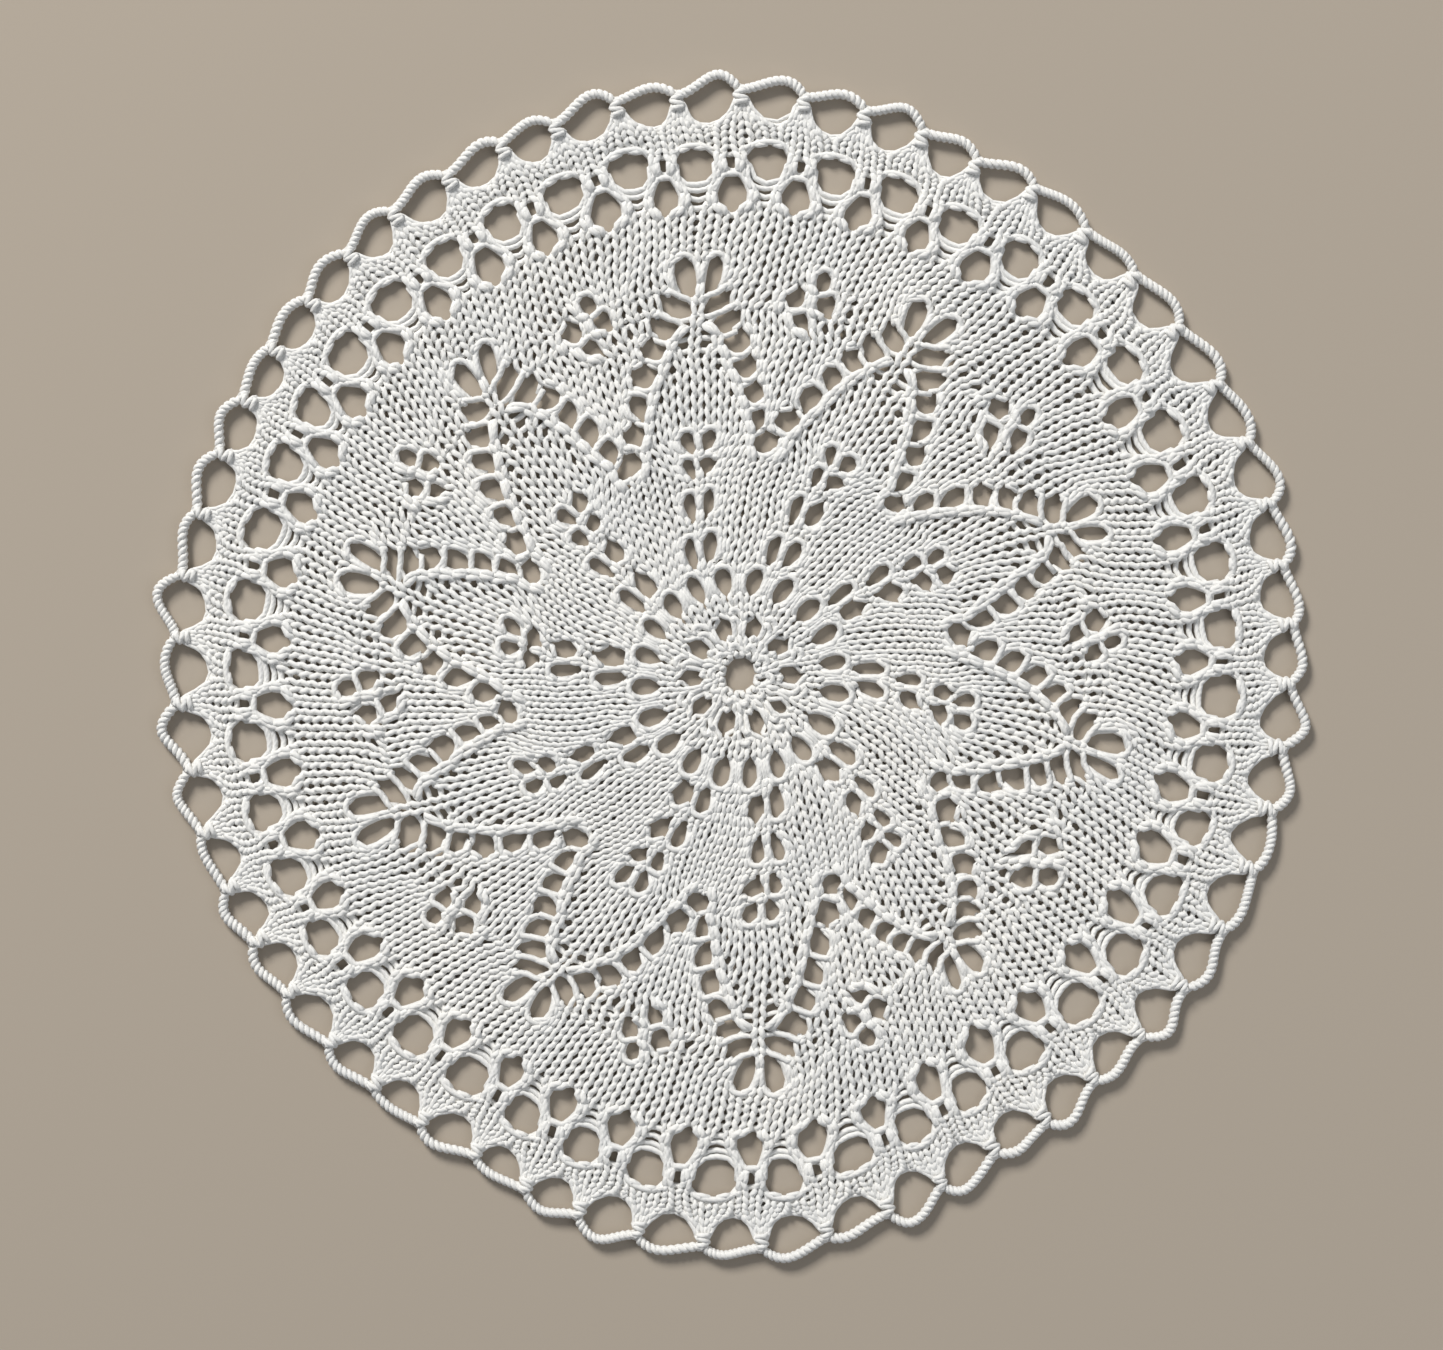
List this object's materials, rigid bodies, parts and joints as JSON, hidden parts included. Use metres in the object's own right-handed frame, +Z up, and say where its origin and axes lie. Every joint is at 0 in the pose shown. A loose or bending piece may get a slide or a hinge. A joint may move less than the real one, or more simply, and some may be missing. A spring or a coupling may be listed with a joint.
{
  "type": "lace doily",
  "caption": "Round knitted lace doily with pointed leaves, a double eyelet band and a scalloped crochet chain-loop edge, lying flat as a table mat.",
  "frame": {"origin": "middle of the doily's bounds, on the face it rests on", "axes": "+Z up through the cloth's thickness, out of the face that is seen, +Y towards the leaf at the top of the doily"},
  "size_m": [0.2304, 0.238, 0.0024],
  "materials": {
    "cotton": "matt, off-white, softly twisted cotton yarn"
  },
  "bodies": {
    "root": {"doily_cloth": "cotton"}
  },
  "joints": []
}
